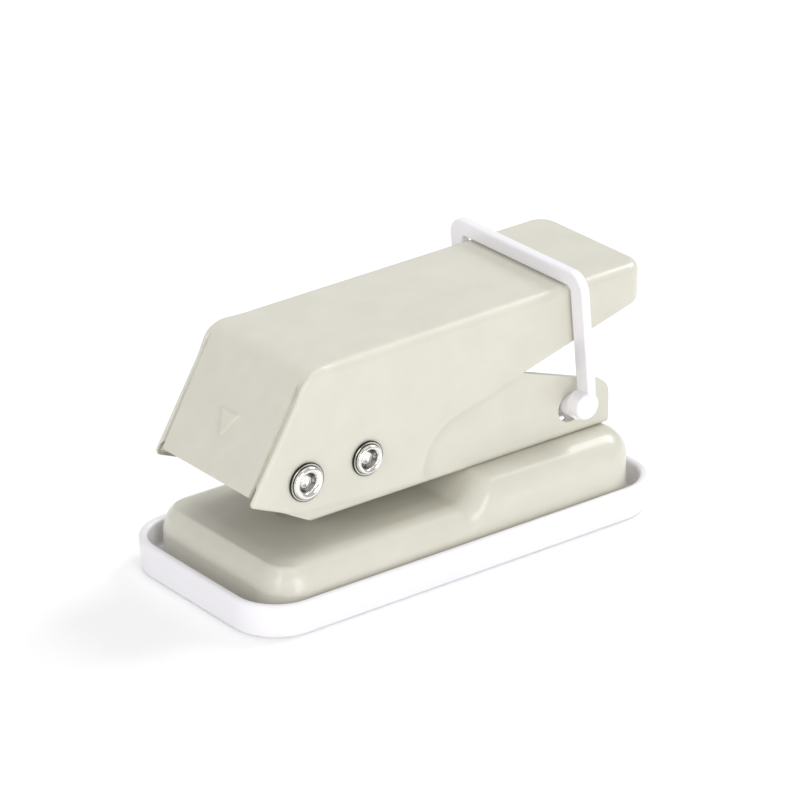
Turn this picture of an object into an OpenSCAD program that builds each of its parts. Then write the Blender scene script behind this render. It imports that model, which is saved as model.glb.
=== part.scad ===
// Single hole punch: a desk machine with a chip tray, a pressed base, a channel frame,
// a pressed lever and a loop that keeps the handle down.
// +X runs to the rear (handle end), -X to the front (paper mouth), +Z up, millimetres.
// The origin is the middle of the tray's underside.

/* [Chip tray] */
// Length of the tray along the machine
tray_length = 104; // [100:0.5:112]
// Width of the tray
tray_width = 50; // [50:0.5:58]
// Height of the rim above the desk
tray_height = 7.3; // [5:0.1:9]
// Corner radius of the tray in plan
tray_corner = 10.8; // [9:0.2:13]
// Wall of the tray at the rim
tray_wall = 1.9; // [1.4:0.1:2.4]
// Thickness of the tray's floor
tray_floor = 1.6; // [1:0.1:2.2]
// How far the outer wall draws in towards the desk
tray_draft = 0.5; // [0.2:0.1:0.8]

/* [Base] */
// Sheet of the pressed base
base_sheet = 1.2; // [0.8:0.1:1.6]
// Height of the low front table above the desk
table_height = 13.2; // [12:0.1:14.5]
// Rise from the table to the raised rear deck
deck_rise = 5; // [4.5:0.1:7]
// Corner radius of the base in plan
base_corner = 8; // [7:0.1:9]
// Radius of the soft top edges
base_round = 5.8; // [4.5:0.1:6.4]
// Foot of the step between table and deck
step_x = 0.5; // [-2:0.5:3]
// Length of the step's S curve
step_run = 7.5; // [5:0.5:9]
// Clearance between the base's sides and the tray
base_gap = 0.6; // [0.4:0.1:1]
// Clearance between the base's ends and the tray
base_end_gap = 3.7; // [2.5:0.1:4.5]

/* [Frame] */
// Outer width of the frame's channel
frame_width = 30.4; // [28:0.2:31]
// Sheet of the frame
frame_sheet = 1.2; // [1:0.1:1.6]
// Height of the cheeks above the deck
frame_height = 18.8; // [17.5:0.1:20]
// How far the frame's rear end stands inside the base's rear end
frame_back = 3.2; // [2:0.1:4.5]
// Where the cheek's top starts to fall to the rear
frame_slope_x = 16.7; // [12:0.1:20]
// Angle at which the cheek's top falls
frame_slope = 18.8; // [15:0.2:21]
// Front toe of the frame's foot
frame_toe = -32.3; // [-34:0.1:-30]

/* [Rivets] */
// Place of the lever's pivot along the machine
pivot_x = -35.5; // [-37:0.1:-34]
// Height of the pivot above the deck
pivot_rise = 10.2; // [9.5:0.1:11]
// Distance from the pivot back to the drive rivet
drive_arm = 15; // [14:0.1:16]
// Height of the drive rivet above the pivot
drive_rise = 0.8; // [0:0.1:1.2]
// Shank of the cup-ended rivets
rivet_d = 4.4; // [3.8:0.1:4.8]
// Diameter of the cup's floor in each rivet end
rivet_cup = 3; // [2:0.1:3.2]
// Depth of the cup below the washer's face
cup_deep = 1.4; // [1:0.1:2.4]
// Outer diameter of the pivot washers
pivot_washer_d = 8.2; // [7.4:0.1:9]
// Outer diameter of the drive washers
drive_washer_d = 7.4; // [7:0.1:8]
// Thickness of the washers under the rolled rivet ends
washer_t = 0.5; // [0.3:0.1:0.8]
// Running clearance round the rivets, on the radius
run_fit = 0.05; // [0.03:0.01:0.08]

/* [Lever] */
// Clearance between the lever's cheeks and the frame, each side
cheek_play = 0.3; // [0.2:0.05:0.6]
// Sheet of the lever
lever_sheet = 1; // [0.8:0.1:1.1]
// Height of the lever's top above the pivot
lever_rise = 22.75; // [21.5:0.05:24]
// Upward slope of the top towards the handle
lever_tilt = 1; // [0.4:0.1:1.6]
// Slope of the front edge from the desk
front_slope = 60; // [57:0.5:63]
// How far the flap's face stands ahead of the pivot, at the height of the cheeks' noses
front_reach = 13.25; // [12.75:0.05:14]
// Drop of the cheeks' noses below the pivot
nose_drop = 2.1; // [1.6:0.1:2.6]
// Drop of the flap's lower edge below the pivot
flap_drop = 0.6; // [0.2:0.1:1]
// How far the chin stands ahead of the pivot
chin_reach = 3.4; // [2.5:0.1:4.5]
// Drop of the chin below the pivot
chin_drop = 6.2; // [5.8:0.1:6.6]
// How far the heel stands behind the pivot
heel_reach = 29.2; // [27.5:0.1:30.5]
// Drop of the heel below the pivot
heel_drop = 8.2; // [7.6:0.1:8.6]
// Radius of the curve from the heel into the handle
waist_round = 11; // [8:0.5:13]
// How far the handle reaches behind the pivot
handle_reach = 87.3; // [84:0.1:87.4]
// Depth of the handle at its rear end
handle_depth = 7.3; // [6.5:0.1:9]
// Upward slope of the handle's underside
handle_slope = 15.2; // [13.5:0.1:16.5]
// Radius of the bend from the top into the front flap
bend_round = 7; // [5:0.5:9]
// Radius of the long top edges
edge_round = 2; // [1.4:0.1:2.4]
// Radius of the handle's rear corners in plan
handle_round = 4.6; // [3:0.1:6]
// Width of the slits beside the flap, and how far back the cheeks' front edges lie at their top
slit = 1.2; // [0.8:0.1:1.4]

/* [Punch] */
// Diameter of the punched hole
hole_d = 6; // [5:0.1:6.5]
// Height of the paper slot under the guide
paper_slot = 1.4; // [1:0.1:2]
// How far the cutter stands back inside the guide
cutter_back = 0.2; // [0.1:0.05:0.4]
// Stroke of the punch
stroke = 2.4; // [2.2:0.05:2.6]
// Clearance of the cutter in the guide and the die, on the radius
cutter_fit = 0.05; // [0.03:0.01:0.08]
// Diameter of the cross-drilled punch head
head_d = 12; // [11:0.1:13]
// Height of the punch head
head_h = 8; // [7.4:0.1:8.6]
// Wire of the return spring
wire_d = 0.6; // [0.5:0.05:0.65]
// Mean diameter of the return spring
spring_d = 8.8; // [8.6:0.1:9.4]
// Turns of the return spring
spring_turns = 3; // [2:0.25:3]

/* [Lock bail] */
// How far the bail's pivot stands inside the frame's rear end
bail_back = 10.2; // [9.2:0.1:11.2]
// Height of the bail's holes above the deck
bail_rise = 6.4; // [6:0.1:7]
// Diameter of the bail's holes in the frame
bail_hole_d = 6.4; // [6:0.1:7]
// Diameter of the bail's pins
bail_pin_d = 4.6; // [4.2:0.1:5]
// Diameter of the round boss at the foot of each leg
bail_boss_d = 5.8; // [5.4:0.1:6.4]
// Width of the bail's legs across the machine
bail_leg = 4; // [3.4:0.1:5]
// Height of the bail's crossbar
bail_bar = 3.4; // [3:0.1:4.5]
// Thickness of the bail along the machine
bail_t = 2.1; // [1.6:0.1:2.6]
// Forward lean of the bail
bail_lean = 5.7; // [4:0.1:7]
// Clearance between the bail's legs and the lever
bail_gap = 0.8; // [0.4:0.05:1]

/* [Hidden] */
$fn = 64;

cream = [0.90, 0.89, 0.83];
white = [0.95, 0.94, 0.96];
nickel = [0.82, 0.82, 0.80];
steel = [0.62, 0.63, 0.65];

// Small shared values
eps = 0.01;
seat = 0.1;
slack = 0.3;
side_play = 0.2;
chamfer = 0.5;
arc_steps = 8;
far = 2 * tray_length;

// Base, inside the tray
base_z0 = tray_floor + seat;
base_wid = tray_width - 2 * (tray_wall + base_gap);
base_len = tray_length - 2 * (tray_wall + base_end_gap);
hollow_end = 6;
deck_z = table_height + deck_rise;

// Frame
cheek_y = frame_width / 2;
channel_y = cheek_y - frame_sheet;
web_z = deck_z + frame_sheet;
frame_top = deck_z + frame_height;
frame_rear = base_len / 2 - frame_back;
frame_nose = 5.8;
frame_fold = 0.8;
frame_edge = 2;
toe_slope = 28.5;

// Rivets
pivot_z = deck_z + pivot_rise;
drive_x = pivot_x + drive_arm;
drive_z = pivot_z + drive_rise;
lever_y = cheek_y + cheek_play + lever_sheet;
lever_width = 2 * lever_y;
rivet_r = rivet_d / 2;
washer_y = lever_y + seat;
rolled_y = washer_y + washer_t;
rolled_h = 0.9;
mouth_r = (rivet_cup / 2 + rivet_r) / 2;
washer_show = 0.6;
spacer_wall = 1.25;
foot_rivet_d = 3.2;
foot_rivet_head = 1.3;
foot_rivet_h = 1;
foot_rivet_in = 6;
foot_rivet_back = 9;
foot_rivet_y = channel_y - foot_rivet_in;
foot_rivet_xs = [step_x + step_run + foot_rivet_in, frame_rear - foot_rivet_back];

// Lever outline
function top_z(x) = pivot_z + lever_rise + (x - pivot_x) * tan(lever_tilt);
front = [pivot_x - front_reach, pivot_z - nose_drop];
chin = [pivot_x - chin_reach, pivot_z - chin_drop];
heel = [pivot_x + heel_reach, pivot_z - heel_drop];
tail_x = pivot_x + handle_reach;
tail_z = top_z(tail_x) - handle_depth;
function under_z(x) = tail_z + (x - tail_x) * tan(handle_slope);
waist = [heel[0], under_z(heel[0])];
// Where a line at the front slope, set back by "in" from the flap's face, meets height z
function front_x(z, in) = front[0] + (z - front[1]) / tan(front_slope) + in / sin(front_slope);
// Where that line meets the top, lowered by "down"
function front_top_x(in, down) =
    let (x0 = front_x(top_z(pivot_x) - down, in))
    x0 + (x0 - pivot_x) * tan(lever_tilt) / (tan(front_slope) - tan(lever_tilt));
flap_y = lever_y - lever_sheet - slit;
flap_z = pivot_z - flap_drop;
slit_in = lever_sheet + slit;
slit_z = top_z(pivot_x) - edge_round;
nose_round = 1;
heel_round = 0.8;
tail_round = 3;
arrow_rise = 8.6;
arrow_w = 5.7;
arrow_h = 5.2;
arrow_t = 0.3;

// Punch
guide_z = table_height + paper_slot;
tip_z = guide_z + cutter_back;
hole_r = hole_d / 2;
guide_wall = 3.4;
guide_r = hole_r + guide_wall;
spigot_wall = 2;
spigot_r = hole_r + spigot_wall;
die_wall = 2.4;
die_r = hole_r + die_wall;
die_flange = 5;
die_flange_r = die_r + die_flange;
die_flange_t = 1.6;
die_land = 1.2;
die_rivet_d = 2.4;
die_rivet_x = die_r + die_flange / 2;
die_rivet_sink = 0.7;
head_low = 0.3;
head_z = drive_z - head_h / 2 - head_low;
spring_z = web_z + washer_t;
cutter_seat = 2;

// Bail
bail_x = frame_rear - bail_back;
bail_hole_z = deck_z + bail_rise;
bail_z = bail_hole_z + (bail_hole_d - bail_pin_d) / 2 - seat;
bail_in = lever_y + bail_gap;
bail_out = bail_in + bail_leg;
bail_set = 1.15;
bail_boss_at = [-0.3, 1.5];
bail_bar_z = (top_z(bail_x) + slack - bail_z) / cos(bail_lean);
bail_top = bail_bar_z + bail_bar;
bail_corner = 4;
bail_inner = 1;
bail_pin_reach = 0.8;

// Outline helpers: points are [x, y, corner radius]
function unit(v) = v / norm(v);
function turn(a) = a > 180 ? a - 360 : a < -180 ? a + 360 : a;
function corner(a, p, b, r) =
    let (u = unit(a - p), v = unit(b - p), half = acos(u * v) / 2)
    let (c = p + unit(u + v) * r / sin(half), s = p + u * r / tan(half), e = p + v * r / tan(half))
    let (a0 = atan2(s[1] - c[1], s[0] - c[0]), a1 = atan2(e[1] - c[1], e[0] - c[0]), da = turn(a1 - a0))
    [for (i = [0:arc_steps]) c + r * [cos(a0 + da * i / arc_steps), sin(a0 + da * i / arc_steps)]];
function xy(p) = [p[0], p[1]];
function rounded(pts) =
    let (n = len(pts))
    [for (i = [0:n - 1])
        each pts[i][2] > 0
            ? corner(xy(pts[(i + n - 1) % n]), xy(pts[i]), xy(pts[(i + 1) % n]), pts[i][2])
            : [xy(pts[i])]];

// A side outline drawn in X and Z, as a slab of the given width across the machine
module slab(w) {
    rotate([90, 0, 0])
        linear_extrude(height = w, center = true)
            children();
}

// A cylinder across the machine, centred on Y = 0
module cross_bar(x, z, r, w) {
    translate([x, 0, z])
        rotate([90, 0, 0])
            cylinder(r = r, h = w, center = true);
}

// A closed skin over rings of equal length, each end closed by a fan round its middle
function total(v, i = 0) = i == len(v) - 1 ? v[i] : v[i] + total(v, i + 1);
function middle(ring) = total(ring) / len(ring);
module skin(rings) {
    n = len(rings[0]);
    m = len(rings);
    pts = concat([for (r = rings) each r], [middle(rings[0]), middle(rings[m - 1])]);
    sides = [for (j = [0:m - 2], i = [0:n - 1])
        let (a = j * n + i, b = j * n + (i + 1) % n)
        each [[a, a + n, b], [b, a + n, b + n]]];
    first = [for (i = [0:n - 1]) [m * n, i, (i + 1) % n]];
    last = [for (i = [0:n - 1]) [m * n + 1, (m - 1) * n + (i + 1) % n, (m - 1) * n + i]];
    polyhedron(points = pts, faces = concat(first, sides, last));
}

// A rounded rectangle ring at height z
function plan_ring(l, w, r, z) =
    [for (q = [0:3], i = [0:arc_steps])
        let (a = q * 90 + 90 * i / arc_steps, sx = q == 0 || q == 3 ? 1 : -1, sy = q < 2 ? 1 : -1)
        [sx * (l / 2 - r) + r * cos(a), sy * (w / 2 - r) + r * sin(a), z]];
function tray_ring(in, z) =
    plan_ring(tray_length - 2 * in, tray_width - 2 * in, tray_corner - in, z);

// Chip tray: a shallow dish with a rounded rim
module chip_tray() {
    foot = 0.6;
    lip = 0.4;
    color(white)
        skin([
            tray_ring(tray_draft + foot, 0),
            tray_ring(tray_draft, foot),
            tray_ring(0, tray_height - lip),
            tray_ring(lip, tray_height),
            tray_ring(tray_wall - lip, tray_height),
            tray_ring(tray_wall, tray_height - lip),
            tray_ring(tray_wall, tray_floor + foot),
            tray_ring(tray_wall + foot, tray_floor)]);
}

// Height of the base's top along the machine: table, S curve, deck
function base_top(x) =
    let (t = min(1, max(0, (x - step_x) / step_run)))
    table_height + deck_rise * (0.5 - 0.5 * cos(180 * t));
// Half width of the base at "in" inside its outline and "d" from its end
function base_half(in, d) =
    let (w = base_wid / 2, r = base_corner)
    d >= r ? w - in
    : in <= d ? w - r + sqrt(max(0, pow(r - in, 2) - pow(r - d, 2)))
    : w - r - (in - d);
function base_drop(in) =
    base_round - sqrt(max(0, pow(base_round, 2) - pow(base_round - min(in, base_round), 2)));
function base_section(x) =
    let (d = base_len / 2 - abs(x))
    let (side = [for (i = [0:arc_steps])
        let (in = base_round * (1 - cos(90 * i / arc_steps)))
        [base_half(in, d), base_top(x) - base_drop(min(in, d))]])
    concat(
        [[x, base_half(0, d), base_z0]],
        [for (p = side) [x, p[0], p[1]]],
        [for (i = [arc_steps:-1:0]) [x, -side[i][0], side[i][1]]],
        [[x, -base_half(0, d), base_z0]]);
base_stations = concat(
    [for (a = [0:10:90]) -base_len / 2 + base_corner * (1 - cos(a))],
    [for (i = [0:arc_steps]) step_x + step_run * i / arc_steps],
    [for (a = [90:-10:0]) base_len / 2 - base_corner * (1 - cos(a))]);

// The hollow under one level of the base
module base_hollow(x0, x1, top) {
    inner = base_round - base_sheet;
    w = base_wid / 2 - base_sheet;
    translate([x0, 0, 0])
        rotate([90, 0, 90])
            linear_extrude(height = x1 - x0)
                polygon(rounded([
                    [-w, -eps, 0],
                    [w, -eps, 0],
                    [w, top - base_sheet, inner],
                    [-w, top - base_sheet, inner]]));
}

// Base: pressed pan with a low front table and a raised rear deck
module base_shell() {
    end = base_len / 2 - hollow_end;
    color(cream)
        difference() {
            skin([for (x = base_stations) base_section(x)]);
            base_hollow(-end, step_x + step_run, table_height);
            base_hollow(step_x + step_run, end, deck_z);
            translate([drive_x, 0, base_z0])
                cylinder(r = die_r, h = far);
            for (s = [-1, 1])
                translate([drive_x + s * die_rivet_x, 0, 0])
                    die_rivet_shape(seat / 5, 1);
            for (x = foot_rivet_xs, s = [-1, 1])
                translate([x, s * foot_rivet_y, base_z0])
                    cylinder(d = foot_rivet_d, h = far);
        }
}

// Die bush: flush with the table, with a cutting land and a relieved bore below it
module die_bush() {
    r = hole_r + cutter_fit;
    flange_z = table_height - base_sheet;
    land_z = table_height - die_land;
    color(steel)
        difference() {
            translate([drive_x, 0, 0])
                rotate_extrude()
                    polygon([
                        [r, table_height],
                        [r, land_z],
                        [r + chamfer, land_z],
                        [r + chamfer, flange_z - die_flange_t],
                        [die_flange_r, flange_z - die_flange_t],
                        [die_flange_r, flange_z],
                        [die_r, flange_z],
                        [die_r, table_height]]);
            for (s = [-1, 1])
                translate([drive_x + s * die_rivet_x, 0, 0])
                    cylinder(d = die_rivet_d, h = far);
        }
}

// A countersunk rivet, flush with the table; "grow" and "over" enlarge it to cut its seat
module die_rivet_shape(grow, over) {
    r = die_rivet_d / 2 + grow;
    top = table_height + over;
    under = table_height - base_sheet - die_flange_t;
    rotate_extrude()
        polygon([
            [0, top],
            [r + die_rivet_sink + over, top],
            [r, table_height - die_rivet_sink],
            [r, under],
            [r + chamfer, under],
            [r, under - chamfer],
            [0, under - chamfer]]);
}
module die_rivets() {
    color(steel)
        for (s = [-1, 1])
            translate([drive_x + s * die_rivet_x, 0, 0])
                die_rivet_shape(0, 0);
}

// Frame: a channel whose cheeks carry the pivot, the drive slots and the bail
module frame_outline() {
    front = pivot_x - frame_nose;
    rear_z = frame_top - (frame_rear - frame_slope_x) * tan(frame_slope);
    polygon(rounded([
        [frame_toe, deck_z, 0],
        [frame_rear, deck_z, frame_edge],
        [frame_rear, rear_z, 2 * frame_edge],
        [frame_slope_x, frame_top, frame_edge],
        [pivot_x, frame_top, frame_edge],
        [front, pivot_z, frame_edge],
        [front, deck_z + (frame_toe - front) * tan(toe_slope), frame_edge / 2]]));
}
module frame_channel() {
    color(cream)
        difference() {
            intersection() {
                slab(frame_width)
                    frame_outline();
                translate([-far / 2, 0, 0])
                    rotate([90, 0, 90])
                        linear_extrude(height = far)
                            polygon(rounded([
                                [-cheek_y, deck_z, frame_fold],
                                [cheek_y, deck_z, frame_fold],
                                [cheek_y, far, 0],
                                [-cheek_y, far, 0]]));
            }
            translate([-far / 2, -channel_y, web_z])
                cube([far, 2 * channel_y, far]);
            cross_bar(pivot_x, pivot_z, rivet_r + run_fit, far);
            cross_bar(drive_x, drive_z, rivet_r + slack, far);
            cross_bar(drive_x, drive_z - stroke, rivet_r + slack, far);
            translate([drive_x - rivet_r - slack, -far / 2, drive_z - stroke])
                cube([rivet_d + 2 * slack, far, stroke]);
            cross_bar(bail_x, bail_hole_z, bail_hole_d / 2, far);
            translate([drive_x, 0, deck_z - eps])
                cylinder(r = spigot_r, h = frame_sheet + 2 * eps);
            for (x = foot_rivet_xs, s = [-1, 1])
                translate([x, s * foot_rivet_y, 0])
                    cylinder(d = foot_rivet_d, h = far);
        }
}

// Rivets that hold the frame's web on the deck
module frame_rivets() {
    r = foot_rivet_d / 2;
    head_r = r + foot_rivet_head;
    low_z = deck_z - base_sheet;
    color(steel)
        for (x = foot_rivet_xs, s = [-1, 1])
            translate([x, s * foot_rivet_y, 0])
                rotate_extrude()
                    polygon([
                        [0, low_z - foot_rivet_h],
                        [head_r - chamfer, low_z - foot_rivet_h],
                        [head_r, low_z],
                        [r, low_z],
                        [r, web_z],
                        [head_r, web_z],
                        [head_r - chamfer, web_z + foot_rivet_h],
                        [0, web_z + foot_rivet_h]]);
}

// Punch guide: a bush under the web that leads the cutter and strips the paper
module punch_guide() {
    color(steel)
        translate([drive_x, 0, 0])
            rotate_extrude()
                polygon([
                    [hole_r + cutter_fit, guide_z],
                    [guide_r - chamfer, guide_z],
                    [guide_r, guide_z + chamfer],
                    [guide_r, deck_z],
                    [spigot_r, deck_z],
                    [spigot_r, web_z],
                    [hole_r + cutter_fit, web_z]]);
}

// Half profile of a rolled rivet end, from the mouth over the rim to the washer
function rolled_end(rim_r) =
    let (mid = (rim_r + mouth_r) / 2, half = (rim_r - mouth_r) / 2)
    [for (i = [0:arc_steps])
        let (a = 180 * i / arc_steps)
        [mid - half * cos(a), rolled_y + rolled_h * sin(a)]];

// Rivet across the machine: each end is a cup whose rim is rolled over a washer
module cup_rivet(x, z, rim_r) {
    cup_r = rivet_cup / 2;
    cup_y = rolled_y - cup_deep;
    end = rolled_end(rim_r);
    translate([x, 0, z])
        rotate([90, 0, 0])
            rotate_extrude()
                polygon(concat(
                    [[0, cup_y], [cup_r, cup_y]],
                    end,
                    [[rivet_r, rolled_y], [rivet_r, -rolled_y]],
                    [for (i = [arc_steps:-1:0]) [end[i][0], -end[i][1]]],
                    [[cup_r, -cup_y], [0, -cup_y]]));
}

// A pair of rings on a rivet, one each side, from y0 outwards
module ring_pair(x, z, outer_d, y0, w) {
    for (s = [-1, 1])
        translate([x, s * (y0 + w / 2), z])
            rotate([90, 0, 0])
                difference() {
                    cylinder(d = outer_d, h = w, center = true);
                    cylinder(r = rivet_r + run_fit, h = 2 * w, center = true);
                }
}

module pivot_rivet() {
    color(nickel)
        cup_rivet(pivot_x, pivot_z, pivot_washer_d / 2 - washer_show);
}
module pivot_washers() {
    color(nickel)
        ring_pair(pivot_x, pivot_z, pivot_washer_d, washer_y, washer_t);
}
module pivot_spacer() {
    color(steel)
        difference() {
            cross_bar(pivot_x, pivot_z, rivet_r + spacer_wall, 2 * (channel_y - side_play));
            cross_bar(pivot_x, pivot_z, rivet_r + run_fit, far);
        }
}
module drive_rivet() {
    color(nickel)
        cup_rivet(drive_x, drive_z, drive_washer_d / 2 - washer_show);
}
module drive_washers() {
    color(nickel)
        ring_pair(drive_x, drive_z, drive_washer_d, washer_y, washer_t);
}
module drive_spacers() {
    color(steel)
        ring_pair(drive_x, drive_z, rivet_d + 2 * spacer_wall, head_d / 2 + side_play,
            channel_y - head_d / 2 - 2 * side_play);
}

// Lever seen from the side, without the slits beside its flap
module lever_outline() {
    polygon(rounded([
        [front[0], front[1], nose_round],
        [chin[0], chin[1], nose_round],
        [heel[0], heel[1], heel_round],
        [waist[0], waist[1], waist_round],
        [tail_x, tail_z, tail_round],
        [tail_x, top_z(tail_x), edge_round],
        [front_top_x(0, 0), top_z(front_top_x(0, 0)), bend_round]]));
}

// A strip along the front slope seen from the side, from ahead of the flap to the back of the slits
module flap_strip(low, high) {
    polygon([
        [front_x(low, -slit), low],
        [front_x(low, slit_in), low],
        [front_x(high, slit_in), high],
        [front_x(high, -slit), high]]);
}

// What is cut away round the flap: the slits, the room below it, and a wedge ahead of each cheek
module flap_slits() {
    difference() {
        union() {
            slab(2 * (flap_y + slit))
                flap_strip(0, slit_z);
            slab(far)
                polygon([
                    front,
                    [front_x(slit_z, slit), slit_z],
                    [front_x(slit_z, -slit), slit_z],
                    [front_x(front[1], -slit), front[1]]]);
        }
        slab(2 * flap_y)
            flap_strip(flap_z, far);
    }
}

// The hollow of the lever, lowered by "down" from the top
module lever_hollow_outline(down) {
    x1 = front_top_x(lever_sheet, down);
    x2 = tail_x - lever_sheet;
    polygon(rounded([
        [front_x(0, lever_sheet), 0, 0],
        [x2, 0, 0],
        [x2, top_z(x2) - down, lever_sheet],
        [x1, top_z(x1) - down, bend_round - lever_sheet]]));
}

// A long bar as wide as the lever, with both upper edges rounded, its top at Z = 0
module edge_bar(r) {
    translate([-far / 2, 0, 0])
        rotate([90, 0, 90])
            linear_extrude(height = far)
                polygon(rounded([
                    [-lever_y, -far, 0],
                    [lever_y, -far, 0],
                    [lever_y, 0, r],
                    [-lever_y, 0, r]]));
}

// Raised arrow on the flap that points down to the hole
module flap_arrow() {
    z = pivot_z + arrow_rise;
    translate([front_x(z, 0), 0, z])
        rotate([0, -front_slope, 0])
            rotate([0, 0, -90])
                translate([0, 0, -lever_sheet / 2])
                    linear_extrude(height = lever_sheet / 2 + arrow_t)
                        polygon([
                            [-arrow_w / 2, arrow_h / 2],
                            [arrow_w / 2, arrow_h / 2],
                            [0, -arrow_h / 2]]);
}

// The lever seen from above, "in" inside its outline, as a column
module lever_plan(in) {
    y = lever_y - in;
    r = handle_round - in;
    linear_extrude(height = far)
        polygon(rounded([
            [-far, -y, 0],
            [tail_x - in, -y, r],
            [tail_x - in, y, r],
            [-far, y, 0]]));
}

// Lever: pressed cover with cheeks, a folded front flap and a handle
module lever_cover() {
    inner = 2 * (lever_y - lever_sheet);
    color(cream) {
        difference() {
            intersection() {
                slab(lever_width)
                    lever_outline();
                translate([0, 0, top_z(0)])
                    rotate([0, -lever_tilt, 0])
                        edge_bar(edge_round);
                lever_plan(0);
            }
            intersection() {
                union() {
                    slab(inner)
                        lever_hollow_outline(edge_round);
                    slab(inner - 2 * (edge_round - lever_sheet))
                        lever_hollow_outline(lever_sheet);
                }
                lever_plan(lever_sheet);
            }
            flap_slits();
            cross_bar(pivot_x, pivot_z, rivet_r + run_fit, far);
            cross_bar(drive_x, drive_z, rivet_r + run_fit, far);
        }
        flap_arrow();
    }
}

// Cutter: a ground pin with a hollow end, so that it starts its cut on two points
module punch_cutter() {
    hollow_r = 2 * hole_d;
    color(steel)
        difference() {
            translate([drive_x, 0, tip_z])
                cylinder(r = hole_r, h = head_z + cutter_seat - tip_z);
            cross_bar(drive_x, tip_z + cutter_back - hollow_r, hollow_r, far);
        }
}

// Punch head: takes the cutter below and the drive rivet across
module punch_head() {
    r = rivet_r + run_fit;
    color(steel)
        difference() {
            translate([drive_x, 0, head_z])
                cylinder(d = head_d, h = head_h);
            translate([drive_x, 0, head_z - eps])
                cylinder(r = hole_r, h = cutter_seat + eps);
            for (s = [-1, 1])
                cross_bar(drive_x + s * slack / 2, drive_z, r, far);
            translate([drive_x - slack / 2, -far / 2, drive_z - r])
                cube([slack, far, 2 * r]);
        }
}

// Return spring: one unbroken coil between the washer and the punch head
ring_sides = 6;
ring_steps = 8;
coil_r = spring_d / 2;
coil_z0 = spring_z + wire_d / 2 + eps;
coil_rise = head_z - eps - wire_d / 2 - coil_z0;
coil_count = floor(spring_turns * ring_steps);
function coil_point(i) =
    let (t = i / coil_count, a = 360 * spring_turns * t)
    [drive_x + coil_r * cos(a), coil_r * sin(a), coil_z0 + coil_rise * t];
function coil_ring(i) =
    let (p = coil_point(i), a = 360 * spring_turns * i / coil_count)
    [for (k = [0:ring_sides - 1])
        let (b = 360 * k / ring_sides, out = cos(b) * wire_d / 2, up = sin(b) * wire_d / 2)
        p + [out * cos(a), out * sin(a), up]];
coil_gap = min([for (i = [0:coil_count - ring_steps])
    norm(coil_point(i + ring_steps) - coil_point(i)) - wire_d]);
echo(least_gap_between_spring_turns = coil_gap);
module return_spring() {
    color(nickel)
        skin([for (i = [0:coil_count]) coil_ring(i)]);
}
module spring_washer() {
    color(steel)
        translate([drive_x, 0, web_z])
            difference() {
                cylinder(r = coil_r + wire_d, h = washer_t);
                translate([0, 0, -eps])
                    cylinder(r = hole_r + slack, h = washer_t + 2 * eps);
            }
}

// Lock bail: a loop over the handle, with a boss and an inward pin at the foot of each leg
module bail_loop() {
    difference() {
        polygon(rounded([
            [-bail_out, bail_boss_at[1], 0],
            [bail_out, bail_boss_at[1], 0],
            [bail_out, bail_top, bail_corner],
            [-bail_out, bail_top, bail_corner]]));
        polygon(rounded([
            [-bail_in, -far, 0],
            [bail_in, -far, 0],
            [bail_in, bail_bar_z, bail_inner],
            [-bail_in, bail_bar_z, bail_inner]]));
    }
}
module bail_round(y0, y1, d) {
    for (s = [-1, 1])
        translate([0, s * (y0 + y1) / 2, 0])
            rotate([90, 0, 0])
                cylinder(d = d, h = y1 - y0, center = true);
}
module lock_bail() {
    color(white)
        translate([bail_x, 0, bail_z]) {
            rotate([0, -bail_lean, 0])
                translate([bail_set - bail_t / 2, 0, 0])
                    rotate([90, 0, 90])
                        linear_extrude(height = bail_t)
                            bail_loop();
            translate([bail_boss_at[0], 0, bail_boss_at[1]])
                bail_round(bail_in, bail_out, bail_boss_d);
            bail_round(channel_y - bail_pin_reach, bail_in + bail_leg / 4, bail_pin_d);
        }
}

chip_tray();
base_shell();
die_bush();
die_rivets();
frame_channel();
frame_rivets();
punch_guide();
pivot_rivet();
pivot_washers();
pivot_spacer();
lever_cover();
drive_rivet();
drive_washers();
drive_spacers();
punch_cutter();
punch_head();
return_spring();
spring_washer();
lock_bail();
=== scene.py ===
import math

import bmesh
import bpy
import numpy as np
from mathutils import Matrix, Vector


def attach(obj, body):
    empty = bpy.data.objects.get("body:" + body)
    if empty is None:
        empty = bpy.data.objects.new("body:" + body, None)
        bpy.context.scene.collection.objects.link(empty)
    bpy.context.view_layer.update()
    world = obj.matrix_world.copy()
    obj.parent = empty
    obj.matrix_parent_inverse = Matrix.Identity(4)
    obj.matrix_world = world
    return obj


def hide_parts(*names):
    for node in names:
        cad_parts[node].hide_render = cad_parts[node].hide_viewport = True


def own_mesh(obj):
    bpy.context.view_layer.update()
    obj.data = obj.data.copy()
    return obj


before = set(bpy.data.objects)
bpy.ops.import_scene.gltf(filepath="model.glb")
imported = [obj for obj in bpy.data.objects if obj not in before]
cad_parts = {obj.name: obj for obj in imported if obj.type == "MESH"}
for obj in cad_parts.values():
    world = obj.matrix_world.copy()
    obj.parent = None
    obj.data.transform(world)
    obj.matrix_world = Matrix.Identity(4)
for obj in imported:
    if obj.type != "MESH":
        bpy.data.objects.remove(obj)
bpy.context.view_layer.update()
mm = 0.001
rad = math.radians
weldGap, thinEdge = 2e-6, 1e-6  # metres: points nearer than this are one, edges shorter than this go
axisGap = 1e-4  # millimetres: profiles and rings end this far from their middle, and the weld closes the gap
mixA, mixB, mixOut = 6, 7, 2  # colour sockets of a Mix node
print("frame loaded:", len(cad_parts), "nodes")


# small mesh tools, all in millimetres until the mesh is made

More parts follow.
